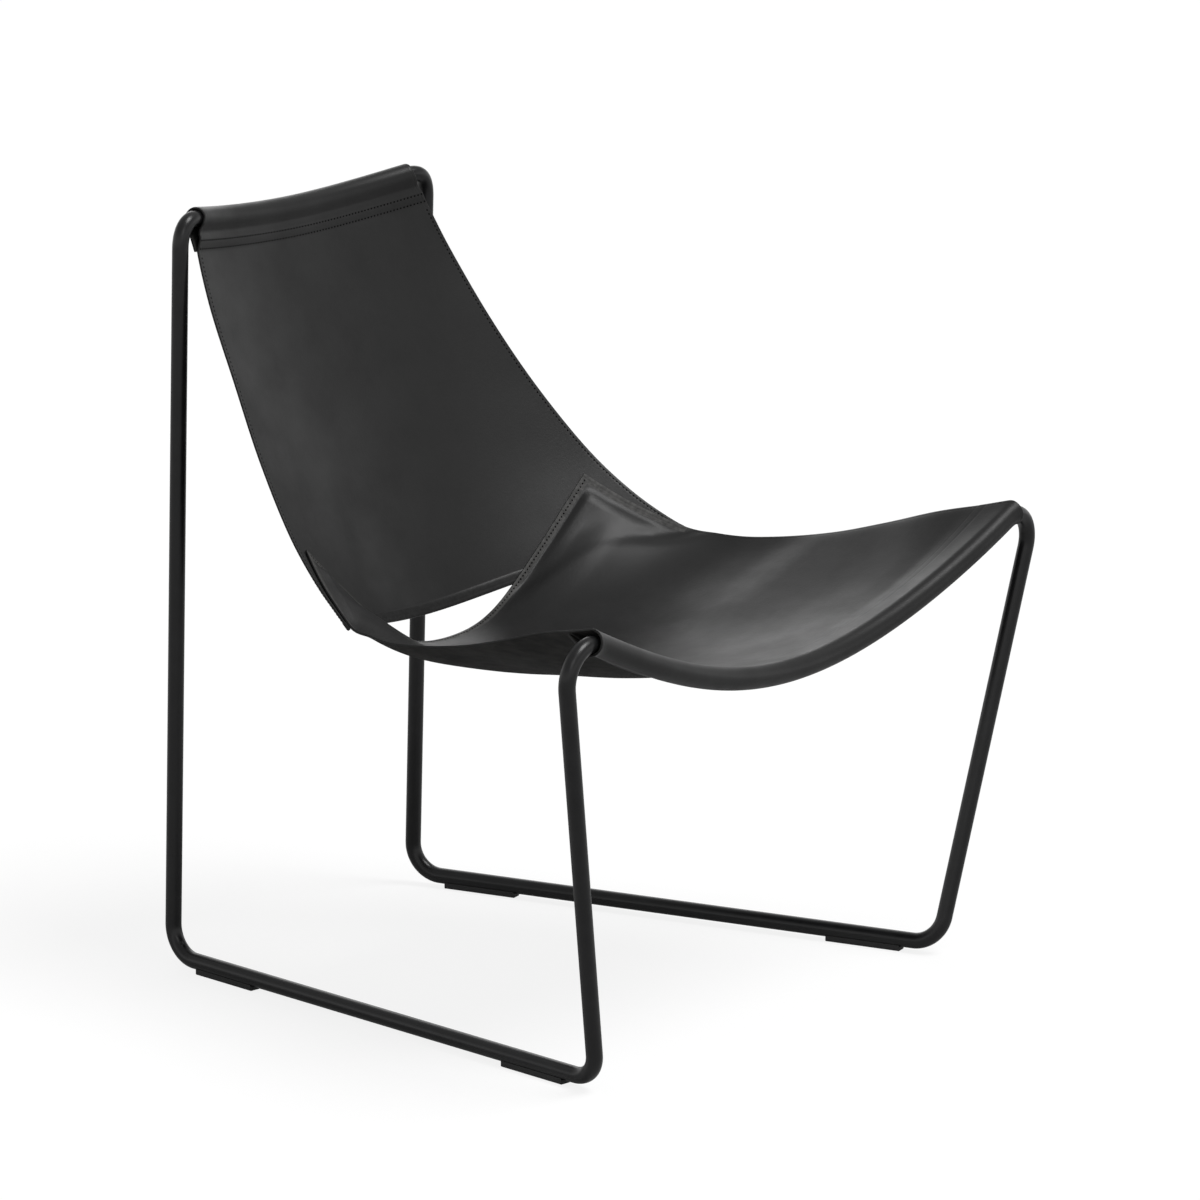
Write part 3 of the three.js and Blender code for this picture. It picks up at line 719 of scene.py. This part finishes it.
def frame_at(x, y, z, place):
    """The matrix of three directions and a place"""
    return Matrix([[x[k], y[k], z[k], place[k]] for k in range(3)] + [[0, 0, 0, 1]])


def stitches(name, rows):
    """Rows of stitches, each a short round of thread that dips into the leather at both ends"""
    bm = bmesh.new()
    bmesh.ops.create_uvsphere(bm, u_segments=6, v_segments=4, radius=0.5)
    stitch = bpy.data.meshes.new("stitch")
    bm.to_mesh(stitch)
    bm.clear()
    for points, normals in rows:
        points, normals = metres(points), unit(normals)
        at = np.concatenate([[0], np.linalg.norm(np.diff(points, axis=0), axis=-1).cumsum()])
        count = int(at[-1] / (STITCH_PITCH * MM))
        for middle in (np.arange(count) + 0.5) * at[-1] / count:
            centre = np.array([np.interp(middle, at, points[:, k]) for k in range(3)])
            ahead = np.array([np.interp(middle + MM, at, points[:, k]) for k in range(3)])
            up = unit(np.array([np.interp(middle, at, normals[:, k]) for k in range(3)]))
            way = unit(ahead - centre)
            other = unit(np.cross(up, way))
            turn = frame_at(way, other, up, centre)
            turn = turn @ Matrix.Diagonal((THREAD_LONG * MM, THREAD * MM, THREAD_HIGH * MM, 1))
            stitch.transform(turn)
            bm.from_mesh(stitch)
            stitch.transform(turn.inverted())
    bpy.data.meshes.remove(stitch)
    return finish_piece(bm, name, [thread_and_hole_shade])


def line_on(grid, normals, places, lift):
    """A line of points over one face of a sheet, with the way up from that face"""
    return grid[places] + normals[places] * lift, normals[places] * np.sign(lift)


back_normals, seat_normals = normals_of(back_grid), normals_of(seat_grid)
side_column = FROM_SIDE.index(STITCH_IN)
free_row = FROM_FREE_EDGE.index(STITCH_IN)
seam_row = len(FROM_FREE_EDGE) + INNER_ROWS - 1
sewn_rows = [seam_row + FROM_SEAM.index(place) for place in SEAM_ROWS]
flap_rows = [-1 - FROM_SEAM.index(place) for place in SEAM_ROWS]
on_face = LEATHER / 2 - GROOVE + THREAD_HIGH * THREAD_UP

# The seat's rear margin is sewn along its whole edge, its sides only where they lie on the back.
over_back = (foot_on_back(seat_grid[side_column, :seam_row])[1] < 1).nonzero()[0][-1] + 1


def margins(grid, width, sides_to):
    """The points in a sheet's stitched margins"""
    side, free, _ = distances(grid)
    row = np.arange(grid.shape[1])[None, :]
    return (free <= width) | ((side <= width) & (row <= sides_to))


back_panel = sheet_piece("back_leather", back_grid, weights(back_grid, HEM_RAISE),
                         [leather, hem, flesh, flesh], margins(back_grid, HEM, 0))
# The seat's margins get the paler skin: partly wear and partly painted sheen
seat_panel = sheet_piece("seat_leather", seat_grid, weights(seat_grid, 0),
                         [flesh, flesh, leather, margin_sheen_and_wear], margins(seat_grid, MARGIN, over_back))
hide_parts("back_panel")
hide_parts("seat_panel")

side_columns = (side_column, -1 - side_column)
edge = np.s_[side_column:-side_column, free_row]
back_lines = [(places, lift) for lift in (on_face, -on_face)
              for places in (*(np.s_[column, :seam_row] for column in side_columns), edge)]
back_lines += [(np.s_[:, row], on_face) for pair in zip(sewn_rows, flap_rows) for row in pair]
seat_lines = [(edge, on_face), (edge, -on_face)]
seat_lines += [(np.s_[column, :over_back], on_face) for column in side_columns]
seat_lines += [(np.s_[:, row], on_face) for row in flap_rows]
back_thread = stitches("back_stitches", [line_on(back_grid, back_normals, *line)
                                         for line in back_lines])
seat_thread = stitches("seat_stitches", [line_on(seat_grid, seat_normals, *line)
                                         for line in seat_lines])


def tube_piece(name, path, nodes):
    """A round tube drawn step by step along a path, with its wall"""
    path = metres(path)
    ways = unit(np.gradient(path, axis=0))
    askew = [0.3, 0.5, 0.81]
    side = unit(np.cross(ways[0], askew))
    frames = []
    for point, way in zip(path, ways):
        side = unit(side - way * float(side @ way))
        frames.append(frame_at(side, np.cross(way, side), way, point))
    bm = bmesh.new()
    bmesh.ops.create_circle(bm, segments=TUBE_SIDES, radius=TUBE * MM, matrix=frames[0])
    edges = list(bm.edges)
    for before, after in zip(frames, frames[1:]):
        made = bmesh.ops.extrude_edge_only(bm, edges=edges)["geom"]
        edges = [g for g in made if isinstance(g, bmesh.types.BMEdge)
                 and all(v in made for v in g.verts)]
        verts = [g for g in made if isinstance(g, bmesh.types.BMVert)]
        bmesh.ops.transform(bm, matrix=after @ before.inverted(), verts=verts)
    bmesh.ops.recalc_face_normals(bm, faces=bm.faces)
    first = bm.faces[:][0]
    if (first.calc_center_median() - Vector(path[0])).dot(first.normal) < 0:
        bmesh.ops.reverse_faces(bm, faces=bm.faces)
    piece = finish_piece(bm, name, [paint])
    wall = piece.modifiers.new("wall", "SOLIDIFY")
    wall.thickness = TUBE_WALL * MM
    wall.offset = -1
    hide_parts(*nodes)
    return piece


top_join = top_at(TOP_BEND_START)
top_slope = slope_of(top_at, TOP_BEND_START)
top_corner_z = top_join[2] + top_slope[2] / top_slope[0] * (REAR_X - TOP_BEND_START)
upright_top = REAR_FOOT + UPRIGHT * (top_corner_z - TOP_BEND_DROP - RUNNER_Z) / UPRIGHT[2]
top_bend = bezier([top_join, top_join + top_slope * TOP_HANDLE * (REAR_X - TOP_BEND_START),
                   upright_top + UPRIGHT * TOP_HANDLE * TOP_BEND_DROP, upright_top],
                  TOP_BEND_STEPS)


def side_path():
    """The centre line of one side, from the joint in the top sleeve to that in the front sleeve"""
    bend = np.linspace(0, 1, BEND_STEPS)
    return np.vstack([
        top_at(np.linspace(TOP_SPLIT, TOP_BEND_START, JOINT_STEPS)[:-1]),
        top_bend,
        rear_elbow(bend),
        foot_elbow(bend),
        leg_elbow(1 - bend),
        bow_at(np.linspace(leg_start[0], FRONT_SPLIT, JOINT_STEPS)[1:]),
    ])


SIDE_PARTS = ["top_bend", "rear_upright", "rear_foot_bend", "runner", "front_foot_bend",
              "front_leg", "front_bend"]
for word, side in (("left", -1), ("right", 1)):
    tube_piece(f"side_tube_{word}", side_path() * [side, 1, 1],
               [f"{part}_{word}" for part in SIDE_PARTS])
for word, rail, split, steps in (("top", top_at, TOP_SPLIT, TOP_RAIL_STEPS),
                                 ("front", bow_at, FRONT_SPLIT, FRONT_RAIL_STEPS)):
    path = rail(np.linspace(-split + JOINT_GAP, split - JOINT_GAP, steps))
    tube_piece(f"{word}_rail_tube", path, [f"{word}_rail"])

# The plugs, glides and screws keep the CAD's own shapes.
for name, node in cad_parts.items():
    finish = paint if "plug" in name else nylon if "screw" not in name and "glide" in name else zinc
    node.data.materials.clear()
    node.data.materials.append(finish)

# The camera: a long lens at the photograph's height and side
turn, tilt = math.radians(CAMERA_TURN), math.radians(CAMERA_TILT)
to_right = np.array([math.cos(turn), math.sin(turn), 0])
to_eye = np.array([math.sin(turn) * math.cos(tilt), -math.cos(turn) * math.cos(tilt),
                   math.sin(tilt)])
to_top = np.cross(to_eye, to_right)
across, up = CAMERA_SHIFT
eye = metres(CAMERA_AIM + to_right * across + to_top * up + to_eye * CAMERA_AWAY)
lens = bpy.data.cameras.new("camera")
lens.lens = CAMERA_LENS
lens.sensor_width = 36
lens.clip_end = 100
camera = put("camera", lens)
camera.matrix_world = frame_at(to_right, to_top, to_eye, eye)
bpy.context.scene.camera = camera


def facing(way):
    return Vector(way).to_track_quat("-Z", "Y").to_euler()


def area_light(name, place, size, power):
    """A soft light that faces the middle of the chair"""
    lamp = bpy.data.lights.new(name, "AREA")
    lamp.shape = "RECTANGLE"
    lamp.size, lamp.size_y = size
    lamp.energy = power
    light = put(name, lamp)
    light.visible_camera = False
    light.location = place
    light.rotation_euler = facing(Vector((0, 0, 0.4)) - Vector(place))


area_light("left_front", (-2.4, -2.4, 2.6), (1.6, 1.6), 12)
area_light("right_back", (2.7, 2.2, 1.75), (1.8, 1.4), 9)
overhead = bpy.data.lights.new("overhead", "SUN")
overhead.energy = 2.2
overhead.angle = math.radians(30)
put("overhead", overhead).rotation_euler = facing((-0.15, 0.42, -0.9))


def background_seen(tree, in_gloss):
    """How much of the white background a ray sees: all of it straight or through glass, a share of
    it in a glossy surface"""
    ray = add_node(tree, "ShaderNodeLightPath")
    seen = add_node(tree, "ShaderNodeMath", {0: ray.outputs["Is Glossy Ray"], 1: in_gloss},
                    operation="MULTIPLY")
    for kind in ("Is Transmission Ray", "Is Camera Ray"):
        seen = add_node(tree, "ShaderNodeMath", {0: ray.outputs[kind], 1: seen.outputs["Value"]},
                        operation="MAXIMUM")
    return seen.outputs["Value"]


world = bpy.data.worlds.new("studio")
bpy.context.scene.world = world
world.use_nodes = True
tree = world.node_tree
tree.nodes.clear()
seen = background_seen(tree, WALL_IN_GLOSS)
look = add_node(tree, "ShaderNodeTexCoord")
toward = add_node(tree, "ShaderNodeSeparateXYZ", {"Vector": look.outputs["Generated"]})
backdrop = add_node(tree, "ShaderNodeMapRange", {"Value": toward.outputs["Z"], **CEILING},
                    interpolation_type="SMOOTHSTEP")
strength = add_node(tree, "ShaderNodeMath", {0: seen, 1: backdrop.outputs["Result"]},
                    operation="MAXIMUM")
wall = add_node(tree, "ShaderNodeBackground", {
    "Color": linear("#ffffff"), "Strength": strength.outputs["Value"]})
add_node(tree, "ShaderNodeOutputWorld", {"Surface": wall.outputs["Background"]})

bm = bmesh.new()
bmesh.ops.create_grid(bm, x_segments=1, y_segments=1, size=8)
floor_mesh = bpy.data.meshes.new("floor")
bm.to_mesh(floor_mesh)
bm.free()
floor = put("floor", floor_mesh)
material, tree = new_material("pale_floor")
seen = background_seen(tree, FLOOR_IN_GLOSS)
share = add_node(tree, "ShaderNodeMath", {0: seen, 1: FLOOR_GLOW}, operation="MULTIPLY")
tint = add_node(tree, "ShaderNodeMixRGB", {
    "Fac": seen, "Color1": linear("#9a9a9a"), "Color2": linear("#ffffff")})
matt = add_node(tree, "ShaderNodeBsdfDiffuse", {"Color": tint.outputs["Color"]})
glow = add_node(tree, "ShaderNodeEmission", {"Color": linear("#ffffff"), "Strength": 1.0})
both = add_node(tree, "ShaderNodeMixShader", {
    0: share.outputs["Value"], 1: matt.outputs["BSDF"], 2: glow.outputs["Emission"]})
add_node(tree, "ShaderNodeOutputMaterial", {"Surface": both.outputs["Shader"]})
floor_mesh.materials.append(material)

bpy.context.scene.view_settings.view_transform = "Standard"
